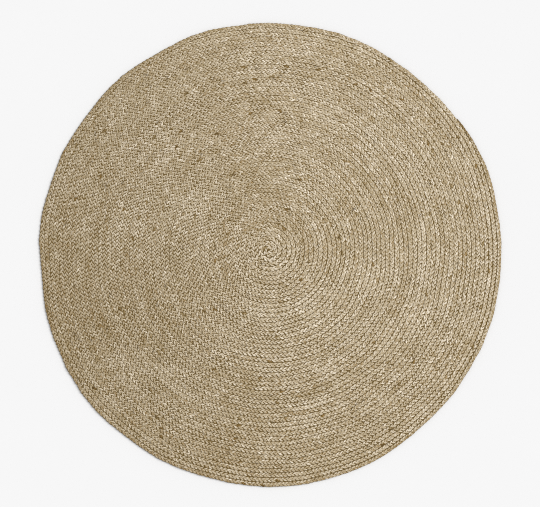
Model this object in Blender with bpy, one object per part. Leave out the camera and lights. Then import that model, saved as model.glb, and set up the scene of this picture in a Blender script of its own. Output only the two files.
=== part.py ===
"""Round jute rug: one braid of three jute strands, wound flat from the middle and sewn row to row.

The rug is one flat solid, with the rounded flank of its outer row all round and the uneven outline
that winding by hand leaves. The rows and strands of the braid are finer than this solid.

Metres, +Z up. The rug lies on z = 0 with its bounding box centred on the origin.
"""

import math
from collections import namedtuple

import bmesh
import bpy

# Driving dimensions
MEAN_RADIUS = 0.7490  # of the circle that the outline wanders about
THICKNESS = 0.009  # one braid lying flat
FLANK_REACH = 0.0055  # how far in the outer row's rounded flank starts to curve down
OUTLINE_STEPS = 240  # points round the outline
FLANK_STEPS = 6  # facets from the upper face to the lower one

# What makes the outline uneven. bearing is in degrees from +X, counter-clockwise from above, out is
# metres beyond the mean circle (less than 0 on a flat), and spread is degrees from middle to end.
Feature = namedtuple("Feature", "what bearing out spread")
OUTLINE = (
    Feature("slack beside the braid's end", 7.0, 0.0025, 13.0),
    Feature("hump over the braid's sewn end", 21.0, 0.0095, 12.0),
    Feature("flat past the braid's end", 50.0, -0.0034, 19.0),
    Feature("small bulge", 72.0, 0.0018, 9.0),
    Feature("low bulge", 92.0, 0.0016, 12.0),
    Feature("far corner", 107.0, 0.0058, 10.0),
    Feature("dent by the far corner", 120.0, -0.0020, 7.0),
    Feature("small corner", 129.0, 0.0022, 7.0),
    Feature("long flat", 145.0, -0.0036, 14.0),
    Feature("end of the long flat", 161.0, -0.0038, 10.0),
    Feature("left flat", 185.0, -0.0092, 12.0),
    Feature("near left corner", 219.0, 0.0070, 21.0),
    Feature("low bulge of the near left side", 242.0, 0.0025, 12.0),
    Feature("near bulge", 273.0, 0.0024, 20.0),
    Feature("near right flat", 313.0, -0.0062, 17.0),
    Feature("end of the near right flat", 329.0, -0.0034, 10.0),
)

JUTE_COLOUR = (0.41, 0.33, 0.20, 1.0)
JUTE_ROUGHNESS = 0.9


def degrees_apart(a, b):
    """The angle between two bearings, 0 to 180."""
    return abs((a - b + 180.0) % 360.0 - 180.0)


def outline_radius(bearing):
    """The rug's radius on this bearing: the mean circle plus a smooth bell for each feature near it."""
    radius = MEAN_RADIUS
    for feature in OUTLINE:
        share = degrees_apart(bearing, feature.bearing) / feature.spread
        if share < 1.0:
            radius += feature.out * (0.5 + 0.5 * math.cos(math.pi * share))
    return radius


def outline_centre():
    """The middle of the outline's bounding box, seen from the mean circle's centre."""
    xs = []
    ys = []
    for step in range(OUTLINE_STEPS):
        bearing = 360.0 * step / OUTLINE_STEPS
        xs.append(outline_radius(bearing) * math.cos(math.radians(bearing)))
        ys.append(outline_radius(bearing) * math.sin(math.radians(bearing)))
    return (min(xs) + max(xs)) / 2.0, (min(ys) + max(ys)) / 2.0


def flank_ring(body, level, centre):
    """One closed ring of vertices on the rounded flank, from level 0 at the floor to FLANK_STEPS on top."""
    turn = math.pi * level / FLANK_STEPS
    inset = FLANK_REACH * (1.0 - math.sin(turn))
    height = THICKNESS * (0.5 - 0.5 * math.cos(turn))
    ring = []
    for step in range(OUTLINE_STEPS):
        bearing = 360.0 * step / OUTLINE_STEPS
        radius = outline_radius(bearing) - inset
        x = radius * math.cos(math.radians(bearing)) - centre[0]
        y = radius * math.sin(math.radians(bearing)) - centre[1]
        ring.append(body.verts.new((x, y, height)))
    return ring


def rug_mesh():
    """The closed flat body: rings up the flank, joined by quads, with a flat face below and one above."""
    body = bmesh.new()
    centre = outline_centre()
    rings = [flank_ring(body, level, centre) for level in range(FLANK_STEPS + 1)]
    for lower, upper in zip(rings, rings[1:]):
        for step in range(OUTLINE_STEPS):
            after = (step + 1) % OUTLINE_STEPS
            body.faces.new((lower[step], lower[after], upper[after], upper[step]))
    body.faces.new(list(reversed(rings[0])))
    body.faces.new(rings[-1])
    mesh = bpy.data.meshes.new("rug")
    body.to_mesh(mesh)
    body.free()
    mesh.shade_smooth()
    mesh.set_sharp_from_angle(angle=math.radians(40.0))
    return mesh


def jute_material():
    """Undyed jute: straw brown and quite matt."""
    material = bpy.data.materials.new("jute")
    material.use_nodes = True
    shader = material.node_tree.nodes["Principled BSDF"]
    shader.inputs["Base Color"].default_value = JUTE_COLOUR
    shader.inputs["Roughness"].default_value = JUTE_ROUGHNESS
    shader.inputs["Metallic"].default_value = 0.0
    return material


for leftover in list(bpy.data.objects):
    bpy.data.objects.remove(leftover)

rug = bpy.data.objects.new("rug", rug_mesh())
rug.data.materials.append(jute_material())
bpy.context.scene.collection.objects.link(rug)
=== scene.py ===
import math

import bpy
import numpy as np
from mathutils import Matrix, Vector


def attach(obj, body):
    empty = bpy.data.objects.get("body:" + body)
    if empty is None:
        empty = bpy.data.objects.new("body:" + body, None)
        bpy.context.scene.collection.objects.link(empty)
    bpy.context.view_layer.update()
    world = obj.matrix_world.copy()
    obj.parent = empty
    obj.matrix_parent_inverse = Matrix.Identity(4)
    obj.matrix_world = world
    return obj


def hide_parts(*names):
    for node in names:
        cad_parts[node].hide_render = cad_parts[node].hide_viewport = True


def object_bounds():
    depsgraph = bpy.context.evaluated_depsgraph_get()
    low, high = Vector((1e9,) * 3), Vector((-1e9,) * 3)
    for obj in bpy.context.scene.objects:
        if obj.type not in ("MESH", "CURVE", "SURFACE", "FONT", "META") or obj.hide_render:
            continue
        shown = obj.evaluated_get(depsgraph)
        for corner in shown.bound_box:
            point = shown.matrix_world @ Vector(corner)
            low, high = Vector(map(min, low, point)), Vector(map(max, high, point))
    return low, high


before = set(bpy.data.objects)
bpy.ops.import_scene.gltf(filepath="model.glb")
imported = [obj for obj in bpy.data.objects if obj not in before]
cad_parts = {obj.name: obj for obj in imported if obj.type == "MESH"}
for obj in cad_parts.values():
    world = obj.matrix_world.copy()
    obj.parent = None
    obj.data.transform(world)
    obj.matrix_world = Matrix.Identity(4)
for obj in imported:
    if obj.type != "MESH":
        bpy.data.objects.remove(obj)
cad_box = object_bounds()
scene = bpy.context.scene

# ---------------------------------------------------------------------------------------------------
# The studio. A plain pale floor lies just under the rug, lit by an even white dome and by one broad
# soft lamp on the right. The camera hangs over the rug on a long lens and looks straight down.
# ---------------------------------------------------------------------------------------------------
FLOOR_DARKER = (0.848, 0.848, 0.848, 1.0)
FLOOR_LIGHTER = (0.852, 0.852, 0.852, 1.0)
FLOOR_HALF = 30.0
FLOOR_GAP = 0.0002
DOME_STRENGTH = 0.62
LAMP_STRENGTH = 2.0
LAMP_SPREAD = math.radians(40.0)
LAMP_BEARING = math.radians(25.0)
LAMP_HEIGHT = math.radians(48.0)
VIEW_WIDTH = 1.749
VIEW_CENTRE = (-0.0016, 0.0049)
LENS_MM = 150.0
SENSOR_MM = 36.0

# The smoothing that a render has by default would wipe out the weave.
scene.view_settings.view_transform = "Standard"
scene.view_settings.look = "None"
scene.cycles.use_denoising = False
scene.cycles.filter_width = 1.0


class Sock:
    """A shader socket. Arithmetic on it adds Math nodes to its material."""

    def __init__(self, shade, socket):
        self.shade = shade
        self.socket = socket

    def maths(self, operation, first, second=0.0):
        values = {"Value": first, "Value_001": second}
        return self.shade.node("ShaderNodeMath", {"operation": operation}, values)

    def __add__(self, other):
        return self.maths("ADD", self, other)

    def __sub__(self, other):
        return self.maths("SUBTRACT", self, other)

    def __mul__(self, other):
        return self.maths("MULTIPLY", self, other)

    def __truediv__(self, other):
        return self.maths("DIVIDE", self, other)

    def __abs__(self):
        return self.maths("ABSOLUTE", self)

    def ramp(self, low, high, between="SMOOTHSTEP"):
        """0 where the socket is at low, 1 where it is at high, and smooth or LINEAR between."""
        return self.shade.node(
            "ShaderNodeMapRange", {"interpolation_type": between},
            {"Value": self, "From Min": low, "From Max": high})


class Shade:
    """A new material. node() adds any node to it, and the calls after it are short ways to some."""

    def __init__(self, name):
        self.material = bpy.data.materials.new(name)
        self.material.use_nodes = True
        self.tree = self.material.node_tree

    def feed(self, node, values):
        """Links or sets a node's sockets, which values names by their identifiers."""
        sockets = {socket.identifier: socket for socket in node.inputs}
        for name, value in values.items():
            if isinstance(value, Sock):
                self.tree.links.new(value.socket, sockets[name])
            else:
                sockets[name].default_value = value

    def node(self, kind, settings, values, out=None):
        made = self.tree.nodes.new(kind)
        for name, value in settings.items():
            setattr(made, name, value)
        self.feed(made, values)
        outputs = {socket.identifier: socket for socket in made.outputs}
        return Sock(self, outputs[out] if out else made.outputs[0])

    def attribute(self, name):
        return self.node("ShaderNodeAttribute", {"attribute_name": name}, {}, "Fac")

    def place(self):
        return self.node("ShaderNodeTexCoord", {}, {}, "Object")

    def point(self, x, y, z):
        return self.node("ShaderNodeCombineXYZ", {}, {"X": x, "Y": y, "Z": z})

    def noise(self, vector, scale, detail, roughness=0.5):
        """Smooth noise about 0, mostly from -0.25 to 0.25."""
        values = {"Vector": vector, "Scale": scale, "Detail": detail, "Roughness": roughness}
        return self.node("ShaderNodeTexNoise", {"noise_dimensions": "3D"}, values) - 0.5

    def mix(self, share, first, second, blend="MIX"):
        return self.node(
            "ShaderNodeMix", {"data_type": "RGBA", "blend_type": blend},
            {"Factor_Float": share, "A_Color": first, "B_Color": second}, "Result_Color")

    def finish(self, **values):
        """Sets the main shader's sockets, named with _ for each space, and returns the material."""
        named = {name.replace("_", " "): value for name, value in values.items()}
        self.feed(self.tree.nodes["Principled BSDF"], named)
        return self.material


def add_object(name, mesh, material):
    mesh.materials.append(material)
    made = bpy.data.objects.new(name, mesh)
    scene.collection.objects.link(made)
    return made


floor_paint = Shade("floor paint")
floor_grain = floor_paint.noise(floor_paint.place(), 3.0, 2.0)
floor_tone = floor_paint.mix(floor_grain.ramp(-0.3, 0.3), FLOOR_DARKER, FLOOR_LIGHTER)
floor_mesh = bpy.data.meshes.new("floor")
floor_corners = [(x * FLOOR_HALF, y * FLOOR_HALF, 0.0) for x, y in ((-1, -1), (1, -1), (1, 1), (-1, 1))]
floor_mesh.from_pydata(floor_corners, [], [(0, 1, 2, 3)])
floor = add_object("floor", floor_mesh, floor_paint.finish(
    Base_Color=floor_tone, Roughness=0.9, Specular_IOR_Level=0.1))
floor.location.z = cad_box[0].z - FLOOR_GAP

dome = bpy.data.worlds.new("dome")
dome.use_nodes = True
dome.node_tree.nodes["Background"].inputs["Color"].default_value = (1.0, 1.0, 1.0, 1.0)
dome.node_tree.nodes["Background"].inputs["Strength"].default_value = DOME_STRENGTH
scene.world = dome

lamp_light = bpy.data.lights.new("soft lamp", "SUN")
lamp_light.energy = LAMP_STRENGTH
lamp_light.angle = LAMP_SPREAD
lamp = bpy.data.objects.new("soft lamp", lamp_light)
scene.collection.objects.link(lamp)
lamp_from = Vector((math.cos(LAMP_BEARING), math.sin(LAMP_BEARING), math.tan(LAMP_HEIGHT)))
lamp.rotation_euler = lamp_from.to_track_quat("Z", "Y").to_euler()

lens = bpy.data.cameras.new("camera")
lens.lens = LENS_MM
lens.sensor_width = SENSOR_MM
lens.clip_end = 100.0
camera = bpy.data.objects.new("camera", lens)
scene.collection.objects.link(camera)
camera.location = (*VIEW_CENTRE, cad_box[1].z + VIEW_WIDTH * LENS_MM / SENSOR_MM)
scene.camera = camera

# ---------------------------------------------------------------------------------------------------
# The braid. Three strands of jute, each a loose bundle of fibre, are plaited flat and wound
# anticlockwise from the middle in a spiral of about 51 turns, each row sewn up against the last.
# Each strand is drawn in two lengths, an inner and an outer, only to keep each mesh light.
# ---------------------------------------------------------------------------------------------------
FULL_TURN = 2.0 * math.pi
FLOOR = cad_box[0].z
MIDDLE = (cad_box[0].z + cad_box[1].z) / 2.0

# The spiral, its curled start, its tapered end, and how its rows stray from it.
ROW_WIDTH = 0.0144
TURNS = 51.5
SPIRAL_CENTRE = np.array((-0.0049, 0.0162))
END_BEARING = math.radians(35.0)
END_TAPER = math.radians(17.0)
END_WIDTH = 0.18
END_ROUNDING = 0.7
CURL_REACHES = (0.28, 0.97)
CURL_WIDTHS = (0.75, 1.0)
EDGE_STEPS = 720
EDGE_SHARE = 7
WOBBLE = 0.0006
WOBBLE_EVERY = 5
WANDER = 0.0015
WAVES = 40
WAVE_LENGTHS = (0.07, 0.26)
WANDER_FADES = 1.0 / 14.0

# One plait: how far its strands swing, as shares of the row's width, how high they lift over one
# another, and how both differ between the rug's open, loose and outer sides.
PLAIT_LENGTH = 0.0384
SLOW_PULL = 0.07
QUICK_PULL = 0.05
PULL_LIMITS = (0.75, 1.3)
SWING = 0.351
SWING_VARIES = 0.028
SKEW = 0.015
LIFT = 0.0011
LIFT_VARIES = 0.18
OPEN_BEARING = math.radians(-12.0)
LOOSE_BEARING = math.radians(-135.0)
SLACK = 0.014
SLACK_LENGTH = 0.3
JITTER = 0.0006
LAST_ROW_RUN = 4.5
OUTER_ROWS = 2.6
OUTER_SWING = 0.028
OUTER_EASE = 0.6

# One strand, pinched where it dives and full on its crests. Its thickness follows the row's width.
STRAND_HALF_WIDTH = 0.235
STRAND_HALF_THICKNESS = 0.00225
SIZE_LIMITS = (0.4, 1.15)
PINCHED_WIDTH = 0.86
CREST_WIDTH = 0.26
PINCHED_THICKNESS = 0.85
CREST_THICKNESS = 0.20
WIDTH_VARIES = 0.05
LEAN = 0.10
UNEVEN_WIDTH = 0.10
UNEVEN_THICKNESS = 0.05
UNEVEN_PLACE = 0.025
UNEVEN_HEIGHT = 0.0002

# Its tone, where 0 is plain straw: more is paler and less is browner. The core of the rug is paler,
# the last row's outer side darker with painted shade at the rim, and a lobe in a few hundred is dark
# bark.
TONE_DRIFT = 0.4
ARCS = 0.7
ARC_LENGTH = 0.11
BARK_BELOW = -2.6
BARK_TONE = -11.0
CORE_TONE = 3.5
CORE_RUN = 0.25
RIM_SHADE_TONE = 3.6
RIM_SHADE_EASE = 0.3

# Its mesh.
SIDES = 6
STEPS = 8
INNER_SHARE = 0.52
MAP_COLUMNS = 212
MAP_GAP = 0.03
CAP_SIZE = 0.45

rug_points = np.array([vertex.co for vertex in bpy.data.objects["rug"].data.vertices])
rim = rug_points[np.abs(rug_points[:, 2] - MIDDLE) < 0.0001, :2] - SPIRAL_CENTRE
rim = rim[np.argsort(np.arctan2(rim[:, 1], rim[:, 0]))]
rim_bearing = np.arctan2(rim[:, 1], rim[:, 0])
rim_reach = np.hypot(rim[:, 0], rim[:, 1])
rug_middle = -SPIRAL_CENTRE
rug_radius = np.hypot(*(rim - rug_middle).T).mean()


def outline_reach(bearing):
    """How far the rug's outline is from the spiral's centre on each bearing."""
    return np.interp(bearing, rim_bearing, rim_reach, period=FULL_TURN)


def circle_reach(bearing):
    """The same for the plain circle that the outline wanders about."""
    along = rug_middle[0] * np.cos(bearing) + rug_middle[1] * np.sin(bearing)
    across = rug_middle[0] * np.sin(bearing) - rug_middle[1] * np.cos(bearing)
    return along + np.sqrt(rug_radius ** 2 - across ** 2)


def past_end(bearing):
    """How much of a turn this bearing is past the braid's sewn end, 0 to 1."""
    return np.mod(bearing - END_BEARING, FULL_TURN) / FULL_TURN


# How far the last row's outer edge is outside a plain spiral. Where the braid's end thins away, the
# outline steps in, and the offset is carried straight across.
edge_bearing = np.linspace(0.0, FULL_TURN, EDGE_STEPS + 1)[:-1] + END_BEARING
edge_off = outline_reach(edge_bearing) - circle_reach(edge_bearing)
edge_off -= ROW_WIDTH * (past_end(edge_bearing) - 0.5)
thinning = past_end(edge_bearing) > 1.0 - END_TAPER / FULL_TURN
before, after = np.flatnonzero(~thinning)[[-1, 0]]
edge_off[thinning] = np.linspace(edge_off[before], edge_off[after], thinning.sum() + 2)[1:-1]

wobble = np.random.default_rng(4).normal(size=EDGE_STEPS // WOBBLE_EVERY + 1)
edge_off += WOBBLE * np.interp(np.arange(EDGE_STEPS) / WOBBLE_EVERY, np.arange(len(wobble)), wobble)

wave_draws = np.random.default_rng(3)
wave_length = wave_draws.uniform(*WAVE_LENGTHS, WAVES)
wave_way = wave_draws.uniform(0.0, FULL_TURN, WAVES)
wave_start = wave_draws.uniform(0.0, FULL_TURN, WAVES)


def wander(x, y):
    """A smooth drift, in metres, that leaves the rows a little unevenly spaced."""
    total = 0.0
    for length, way, start in zip(wave_length, wave_way, wave_start):
        phase = (x * math.cos(way) + y * math.sin(way)) * FULL_TURN / length + start
        total = total + np.sin(phase) * length / wave_length.mean()
    return total * WANDER / math.sqrt(WAVES)


def row_edge(turn):
    """The outer edge of the row at this many turns, from the spiral's centre."""
    bearing = END_BEARING + FULL_TURN * (turn - TURNS)
    share = np.clip((turn + 0.5) / TURNS, 0.0, None)
    off = np.interp(bearing, edge_bearing, edge_off, period=FULL_TURN)
    reach = circle_reach(bearing) * share
    drift = wander(reach * np.cos(bearing), reach * np.sin(bearing))
    drift *= np.clip((1.0 - share) / WANDER_FADES, 0.0, 1.0) * np.clip(share / WANDER_FADES, 0.0, 1.0)
    return reach + off * share ** EDGE_SHARE + drift


# The braid's centre line, with its width at each point. Over the first turn it curls up on itself.
turn = np.linspace(0.0, TURNS, int(TURNS * EDGE_STEPS))
bearing = END_BEARING + FULL_TURN * (turn - TURNS)
inner = row_edge(turn - 1.0)
width = row_edge(turn) - inner
thinned = np.clip((TURNS - turn) * FULL_TURN / END_TAPER, 0.0, 1.0) ** END_ROUNDING
width *= END_WIDTH + (1.0 - END_WIDTH) * thinned
reach = inner + 0.5 * width
curled = turn < 1.0
reach[curled] = ROW_WIDTH * np.interp(turn[curled], (0.0, 1.0), CURL_REACHES)
width[curled] = ROW_WIDTH * np.interp(turn[curled], (0.0, 1.0), CURL_WIDTHS)
centre = np.stack((reach * np.cos(bearing), reach * np.sin(bearing)), 1) + SPIRAL_CENTRE
run = np.concatenate(([0.0], np.cumsum(np.linalg.norm(np.diff(centre, axis=0), axis=1))))
heading = np.gradient(centre, run, axis=0)


def drifting(count, every, seed):
    """A slow random drift about 0: a new normal number each `every` steps, straight between them."""
    knots = np.random.default_rng(seed).normal(size=int(count / every) + 3)
    return np.interp(np.arange(count) / every, np.arange(len(knots)), knots)


# Where each plait ends along the braid: some are pulled tighter than others. There are a tenth more
# plaits than a plain braid has, so that they reach its end however they are pulled.
plaits = int(run[-1] / PLAIT_LENGTH * 1.1) + 3
pull = SLOW_PULL * drifting(plaits, 5.0, 11) + QUICK_PULL * drifting(plaits, 1.0, 12)
plait_end = np.concatenate(([0.0], np.cumsum(np.clip(1.0 + pull, *PULL_LIMITS)))) * PLAIT_LENGTH

# How the whole braid's colour drifts, from one bundle of jute to the next, which shows as arcs.
arc_tone = drifting(int(run[-1] / ARC_LENGTH) + 2, 1.0, 60)
arc_at = np.arange(len(arc_tone)) * ARC_LENGTH

# Where the rows are sewn tighter or slacker, so that the groove between them closes or opens.
slack = drifting(int(run[-1] / SLACK_LENGTH) + 2, 1.0, 61)
slack_at = np.arange(len(slack)) * SLACK_LENGTH


def strand_rings(strand):
    """One strand: its rings of points, and each ring's tone, warmth and place along the strand.

    A strand swings from side to side once in a plait, and rises over its neighbours twice: once on
    its way out to the outer side and once on its way back in. Each rise shows as one lobe on top.
    """
    t = FULL_TURN * (np.arange(plaits * STEPS) / STEPS - 1.0)
    plait = t / FULL_TURN + 1.0 - strand / 3.0
    at = np.interp(plait, np.arange(len(plait_end)), plait_end, left=-1.0)
    at = at + JITTER * drifting(len(t), STEPS / 2.0, 90 + strand)
    inside = (at <= run[-1]) & (at > 0.0)
    t = t[inside]
    at = at[inside]
    here = np.stack([np.interp(at, run, centre[:, axis]) for axis in (0, 1)], 1)
    ahead = np.stack([np.interp(at, run, heading[:, axis]) for axis in (0, 1)], 1)
    ahead /= np.linalg.norm(ahead, axis=1)[:, None]
    outward = np.stack((ahead[:, 1], -ahead[:, 0]), 1)
    wide = np.interp(at, run, width)
    size = np.clip(wide / ROW_WIDTH, *SIZE_LIMITS)

    lobe = np.floor((t + math.pi / 4.0) / math.pi).astype(int) + 3
    lobes = lobe.max() + 2
    draws = np.random.default_rng(20 + strand).normal(size=(4, lobes))
    bulk, rise, shift, fleck = (row[lobe] for row in draws)
    crest = np.sin(2.0 * t) ** 2

    row_bearing = np.arctan2(*(here - SPIRAL_CENTRE).T[::-1])
    open_side = np.cos(row_bearing - OPEN_BEARING)
    loose_side = np.cos(row_bearing - LOOSE_BEARING)
    into_last_row = at - run[-1] + LAST_ROW_RUN
    into_outer_rows = at - run[-1] + LAST_ROW_RUN * OUTER_ROWS
    swing = SWING - SWING_VARIES * open_side + SLACK * np.interp(at, slack_at, slack)
    swing -= OUTER_SWING * np.clip(into_outer_rows / OUTER_EASE, 0.0, 1.0)
    lift = LIFT * (1.0 + LIFT_VARIES * loose_side)
    sideways = wide * (swing * np.sin(t) - SKEW * np.cos(2.0 * t) + UNEVEN_PLACE * shift * crest)
    middle = np.zeros((len(t), 3))
    middle[:, :2] = here + outward * sideways[:, None]
    middle[:, 2] = MIDDLE + size * (lift * np.sin(2.0 * t) + UNEVEN_HEIGHT * rise * crest)

    forward = np.gradient(middle, axis=0)
    forward /= np.linalg.norm(forward, axis=1)[:, None]
    side = np.cross(forward, (0.0, 0.0, 1.0))
    side /= np.linalg.norm(side, axis=1)[:, None]
    up = np.cross(side, forward)
    half_wide = wide * STRAND_HALF_WIDTH * (1.0 - WIDTH_VARIES * loose_side)
    half_wide *= (PINCHED_WIDTH + CREST_WIDTH * crest) * (1.0 + UNEVEN_WIDTH * bulk)
    half_wide *= 1.0 + LEAN * np.sin(t)
    half_thick = STRAND_HALF_THICKNESS * size
    half_thick *= (PINCHED_THICKNESS + CREST_THICKNESS * crest) * (1.0 + UNEVEN_THICKNESS * bulk)
    # The rings start, and the mesh's flat map is cut, on the underside.
    angle = FULL_TURN * (np.arange(SIDES) / SIDES - 1.0 / 3.0)
    rings = (middle[:, None] + side[:, None] * (half_wide[:, None] * np.cos(angle))[:, :, None]
             + up[:, None] * (half_thick[:, None] * np.sin(angle))[:, :, None])
    rings[:, :, 2] = np.maximum(rings[:, :, 2], FLOOR)

    fleck = np.where(fleck < BARK_BELOW, BARK_TONE, fleck)
    tone = TONE_DRIFT * drifting(lobes, 5.0, 50 + strand)[lobe] + fleck
    tone += ARCS * np.interp(at, arc_at, arc_tone) + CORE_TONE * np.exp(-at / CORE_RUN)
    # Painted shade: the last row's outer side is darker, where its strands turn down at the rim.
    outer_side = np.clip(np.sin(t) + 0.3, 0.0, 1.0)
    tone -= RIM_SHADE_TONE * outer_side * np.clip(into_last_row / RIM_SHADE_EASE, 0.0, 1.0)
    warm = drifting(lobes, 9.0, 70 + strand)[lobe]
    # Far apart along the noise, so that the three strands have streaks of their own.
    along = at + 7.0 * strand
    return {"rings": rings, "tone": tone, "warm": warm, "along": along}


strands = [strand_rings(strand) for strand in range(3)]

# The jute's own colours, pale to dark, then painted shade for the gaps and for the side away from the
# lamp. A level of tone makes the jute wholly pale, wholly brown, or from one level to the next dark
# bark.
PALE = (1.0, 0.905, 0.76, 1.0)
STRAW = (0.532, 0.439, 0.294, 1.0)
OLIVE = (0.34, 0.245, 0.11, 1.0)
BROWN = (0.29, 0.175, 0.05, 1.0)
BARK = (0.085, 0.050, 0.016, 1.0)
SHADED = (0.182, 0.113, 0.028, 1.0)
SIDE_SHADE = (0.81, 0.795, 0.76, 1.0)
PALE_LEVEL = 1.5
BROWN_LEVEL = -1.4
BARK_LEVELS = (-1.5, -2.6)
TOP_HEIGHT = 0.0044
SHADED_FROM = 0.45
SHADED_BELOW = 0.12
LIT_SIDE_BEARING = math.radians(8.0)
SIDE_SHADE_FROM = 0.30
SIDE_SHADE_TO = -0.75

jute = Shade("jute strand")
place = jute.place()
height = jute.node("ShaderNodeSeparateXYZ", {}, {"Vector": place}, "Z")
height_share = abs(height - MIDDLE) / TOP_HEIGHT
tone = jute.attribute("tone")
warm = jute.attribute("warm")
along = jute.attribute("along")
around = jute.attribute("around")
# Streaks and fibres run along each strand; mottle, patch and cloud lie across the whole rug.
streak = jute.noise(jute.point(along * 90.0, around * 11.0, along * 3.0), 1.0, 1.0)
fibre = jute.noise(jute.point(along * 160.0, around * 36.0, along * 9.0), 1.0, 3.0, 0.6)
mottle = jute.noise(place, 150.0, 1.0)
patch = jute.noise(place, 17.0, 3.0, 0.6)
cloud = jute.noise(place, 2.2, 1.0)
# Below 0, the level is browner than straw, and above 0 it is paler.
level = tone * 0.16 + patch * 0.7 + cloud * 0.7 + mottle * 2.2 + streak * 4.2 + fibre * 2.0
darker = jute.mix(warm.ramp(-0.6, 0.6), OLIVE, BROWN)
colour = jute.mix(level.ramp(0.0, PALE_LEVEL, "LINEAR"), STRAW, PALE)
colour = jute.mix(level.ramp(0.0, BROWN_LEVEL, "LINEAR"), colour, darker)
colour = jute.mix(level.ramp(*BARK_LEVELS), colour, BARK)
# Painted shade: the jute darkens towards the rug's mid-height, down in the grooves between the strands.
colour = jute.mix(height_share.ramp(SHADED_FROM, SHADED_BELOW), colour, SHADED)
# Painted shade: the jute darkens across the rug towards the side away from the lamp.
lit_side_way = (math.cos(LIT_SIDE_BEARING), math.sin(LIT_SIDE_BEARING), 0.0)
lit_side = jute.node(
    "ShaderNodeVectorMath", {"operation": "DOT_PRODUCT"},
    {"Vector": place, "Vector_001": lit_side_way}, "Value")
colour = jute.mix(lit_side.ramp(SIDE_SHADE_FROM, SIDE_SHADE_TO), colour, SIDE_SHADE, "MULTIPLY")
relief = jute.node(
    "ShaderNodeBump", {}, {"Strength": 0.6, "Distance": 0.0003, "Height": fibre + streak}, "Normal")
jute_finish = jute.finish(
    Base_Color=colour, Roughness=0.7, Normal=relief, Specular_IOR_Level=0.12,
    Sheen_Weight=0.03, Sheen_Roughness=0.5)


def fill_mesh(name, points, faces):
    """A smooth mesh from an array of points and a list of arrays of faces, each of one corner count."""
    mesh = bpy.data.meshes.new(name)
    sizes = np.concatenate([np.full(len(group), group.shape[1]) for group in faces])
    corners = np.concatenate([group.ravel() for group in faces])
    mesh.vertices.add(len(points))
    mesh.vertices.foreach_set("co", points.astype(np.float32).ravel())
    mesh.loops.add(len(corners))
    mesh.loops.foreach_set("vertex_index", corners.astype(np.int32))
    mesh.polygons.add(len(sizes))
    mesh.polygons.foreach_set("loop_start", (np.cumsum(sizes) - sizes).astype(np.int32))
    mesh.update(calc_edges=True)
    mesh.shade_smooth()
    return mesh


def set_values(mesh, key, domain, values):
    mesh.attributes.new(key, "FLOAT", domain).data.foreach_set("value", values.astype(np.float32))


def tube_faces(tubes, rings, sides):
    """The quads along a number of like closed tubes, and the two end caps of each. All face out."""
    tube = np.arange(tubes)[:, None, None] * rings * sides
    ring = np.arange(rings - 1)[None, :, None] * sides
    corner = np.arange(sides)[None, None, :]
    after = (corner + 1) % sides
    quads = np.stack((tube + ring + corner, tube + ring + sides + corner,
                      tube + ring + sides + after, tube + ring + after), 3).reshape(-1, 4)
    last = tube[:, 0] + (rings - 1) * sides
    caps = np.concatenate((tube[:, 0] + corner[0], last + corner[0, :, ::-1]))
    return quads, caps


def laid_out(segments, caps, columns):
    """A flat map of the segments, side by side in rows, and of the end caps after them."""
    rows = math.ceil((segments + caps) / columns)
    cell = np.arange(segments + caps)
    left = (cell % columns)[:, None]
    low = (cell // columns)[:, None]
    side = np.arange(SIDES)
    across = left[:segments, :, None] + np.array((0.0, 1.0, 1.0, 0.0))[None, None, :]
    up = (side[:, None] + np.array((0, 0, 1, 1)))[None] / SIDES
    up = low[:segments, :, None] + MAP_GAP + (1.0 - 2.0 * MAP_GAP) * up
    quad_map = np.stack(np.broadcast_arrays(across / columns, up / rows), 3).reshape(-1, 2)
    turned = FULL_TURN * side / SIDES
    cap_map = np.stack(((left[segments:] + 0.5 + CAP_SIZE * np.cos(turned)) / columns,
                        (low[segments:] + 0.5 + CAP_SIZE * np.sin(turned)) / rows), 2).reshape(-1, 2)
    return np.concatenate((quad_map, cap_map))


def strand_mesh(name, strand, first, last):
    """One strand from ring `first` to ring `last`."""
    points = strand["rings"][first:last + 1].reshape(-1, 3)
    quads, caps = tube_faces(1, last - first + 1, SIDES)
    mesh = fill_mesh(name, points, [quads, caps])
    for key in ("tone", "warm", "along"):
        set_values(mesh, key, "POINT", np.repeat(strand[key][first:last + 1], SIDES))
    round_it = ((np.arange(SIDES)[:, None] + np.array((0, 0, 1, 1))) / SIDES).ravel()
    set_values(mesh, "around", "CORNER", np.concatenate(
        (np.tile(round_it, len(quads) // SIDES), np.full(caps.size, 0.5))))
    flat_map = laid_out(len(quads) // SIDES, len(caps), MAP_COLUMNS)
    mesh.uv_layers.new(name="OFBake").uv.foreach_set("vector", flat_map.astype(np.float32).ravel())
    return mesh


for number, strand in enumerate(strands, 1):
    last = len(strand["along"]) - 1
    cut = int(last * INNER_SHARE)
    for part, start, end in (("inner", 0, cut), ("outer", cut, last)):
        name = f"strand_{number}_{part}"
        piece = add_object(name, strand_mesh(name, strand, start, end), jute_finish)
        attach(piece, "root")

# ---------------------------------------------------------------------------------------------------
# Stray fibres. Short loose ends of jute that have worked out of the braid in wear. Most are thin and
# pale, and some are coarse brown bits of bark. Each lies on the rows with its tips tucked in.
# ---------------------------------------------------------------------------------------------------
STRAYS = 1500
STRAY_END_GAP = 0.1
STRAY_TURN = math.radians(28.0)
STRAY_BEND = 0.9
STRAY_LENGTHS = (0.007, 0.022)
STRAY_RADII = (0.00018, 0.00032)
STRAY_TONES = (0.45, 1.0)
COARSE = 260
COARSE_THICKER = 2.6
COARSE_SHORTER = 0.75
COARSE_TONES = (0.0, 0.3)
STRAY_RINGS = 6
STRAY_SIDES = 3
STRAY_HEIGHT = 0.0041
STRAY_SAG = 0.0022
STRAY_TIP = 0.25
STRAY_DARK = (0.075, 0.040, 0.008, 1.0)
STRAY_PALE = (0.80, 0.70, 0.52, 1.0)

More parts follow.
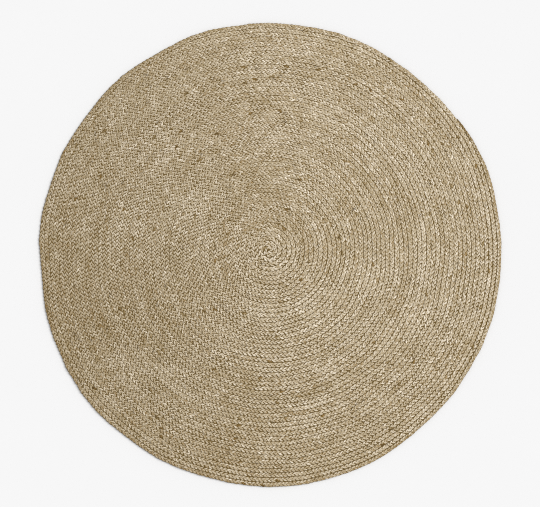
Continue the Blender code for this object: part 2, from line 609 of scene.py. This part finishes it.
draws = np.random.default_rng(41)
stray_at = draws.uniform(STRAY_END_GAP, run[-1] - STRAY_END_GAP, STRAYS)
stray_across = draws.uniform(-0.5, 0.5, STRAYS)
stray_turn = draws.normal(0.0, STRAY_TURN, STRAYS)
stray_bend = draws.normal(0.0, STRAY_BEND, STRAYS)
stray_length = draws.uniform(*STRAY_LENGTHS, STRAYS)
stray_radius = draws.uniform(*STRAY_RADII, STRAYS)
stray_tone = draws.uniform(*STRAY_TONES, STRAYS)
stray_length[:COARSE] *= COARSE_SHORTER
stray_radius[:COARSE] *= COARSE_THICKER
stray_tone[:COARSE] = draws.uniform(*COARSE_TONES, COARSE)

# Each fibre's line: steps along a heading that turns from one tip to the other.
stray_heading = np.arctan2(*(np.interp(stray_at, run, heading[:, axis]) for axis in (1, 0)))
stray_outward = np.stack((np.sin(stray_heading), -np.cos(stray_heading)), 1)
stray_from = np.stack([np.interp(stray_at, run, centre[:, axis]) for axis in (0, 1)], 1)
stray_from += stray_outward * (stray_across * np.interp(stray_at, run, width))[:, None]
stray_way = stray_bend[:, None] * np.linspace(-0.5, 0.5, STRAY_RINGS)
stray_way = (stray_heading + stray_turn)[:, None] + stray_way
stray_step = stray_length[:, None] / (STRAY_RINGS - 1)
stray_line = np.stack((np.cos(stray_way), np.sin(stray_way)), 2) * stray_step[:, :, None]
stray_line = np.cumsum(stray_line, 1)
stray_line += (stray_from - stray_line.mean(1))[:, None]

# Its body: it arches over the rows, thins to both tips, and the tips sag in between them.
arch = np.sin(np.linspace(0.0, math.pi, STRAY_RINGS)) ** 0.5
stray_height = MIDDLE + STRAY_HEIGHT - STRAY_SAG * (1.0 - arch)[None] + stray_radius[:, None]
stray_round = stray_radius[:, None] * (STRAY_TIP + (1.0 - STRAY_TIP) * arch)[None]
stray_side = np.stack((np.sin(stray_way), -np.cos(stray_way)), 2)
stray_angle = FULL_TURN * np.arange(STRAY_SIDES) / STRAY_SIDES
stray_offset = stray_round[:, :, None] * np.cos(stray_angle)
stray_points = np.zeros((STRAYS, STRAY_RINGS, STRAY_SIDES, 3))
stray_points[..., :2] = stray_line[:, :, None] + stray_side[:, :, None] * stray_offset[..., None]
stray_points[..., 2] = stray_height[..., None] + stray_round[:, :, None] * np.sin(stray_angle)

loose = Shade("loose jute fibre")
loose_tone = loose.attribute("tone") + loose.noise(loose.place(), 500.0, 2.0) * 0.5
stray_mesh = fill_mesh(
    "stray_fibres", stray_points.reshape(-1, 3), tube_faces(STRAYS, STRAY_RINGS, STRAY_SIDES))
set_values(stray_mesh, "tone", "POINT", np.repeat(stray_tone, STRAY_RINGS * STRAY_SIDES))
strays = add_object("stray_fibres", stray_mesh, loose.finish(
    Base_Color=loose.mix(loose_tone.ramp(0.0, 0.9), STRAY_DARK, STRAY_PALE),
    Roughness=0.7, Specular_IOR_Level=0.25))
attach(strays, "root")

# ---------------------------------------------------------------------------------------------------
# The web. Where the rows are sewn flank to flank, packed fibre and thread close the rug at half its
# height. It is a thin layer, and only its top shows, down between the strands; its dark colour is
# painted shade for the depth between the rows.
# ---------------------------------------------------------------------------------------------------
WEB_HALF = 0.0012
WEB_INSET = 0.0045
WEB_SPOKES = 150
WEB_RINGS = 10
WEB_SHADE_DARK = (0.078, 0.048, 0.012, 1.0)
WEB_SHADE_LIGHT = (0.195, 0.126, 0.040, 1.0)

# One closed disc, as a tube round the spiral's centre: out along the bottom, then in along the top.
spoke_bearing = FULL_TURN * np.arange(WEB_SPOKES) / WEB_SPOKES
spoke_way = np.stack((np.cos(spoke_bearing), np.sin(spoke_bearing)), 1)
web_share = np.linspace(1.0 / WEB_RINGS, 1.0, WEB_RINGS)
web_share = np.concatenate((web_share, web_share[::-1]))
web_reach = (outline_reach(spoke_bearing) - WEB_INSET)[None] * web_share[:, None]
web_points = np.zeros((2 * WEB_RINGS, WEB_SPOKES, 3))
web_points[:, :, :2] = SPIRAL_CENTRE + web_reach[:, :, None] * spoke_way[None]
web_points[:WEB_RINGS, :, 2] = MIDDLE - WEB_HALF
web_points[WEB_RINGS:, :, 2] = MIDDLE + WEB_HALF
web_faces = [group[:, ::-1] for group in tube_faces(1, 2 * WEB_RINGS, WEB_SPOKES)]

packed = Shade("web jute in painted shade")
packed_grain = packed.noise(packed.place(), 900.0, 2.0)
web_mesh = fill_mesh("sewn_web", web_points.reshape(-1, 3), web_faces)
web_mesh.shade_flat()
# Painted shade: the web is coloured dark for the shadowed depth down between the strands.
web = add_object("sewn_web", web_mesh, packed.finish(
    Base_Color=packed.mix(packed_grain.ramp(-0.2, 0.2), WEB_SHADE_DARK, WEB_SHADE_LIGHT),
    Roughness=0.95, Specular_IOR_Level=0.1))
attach(web, "root")
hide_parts("rug")
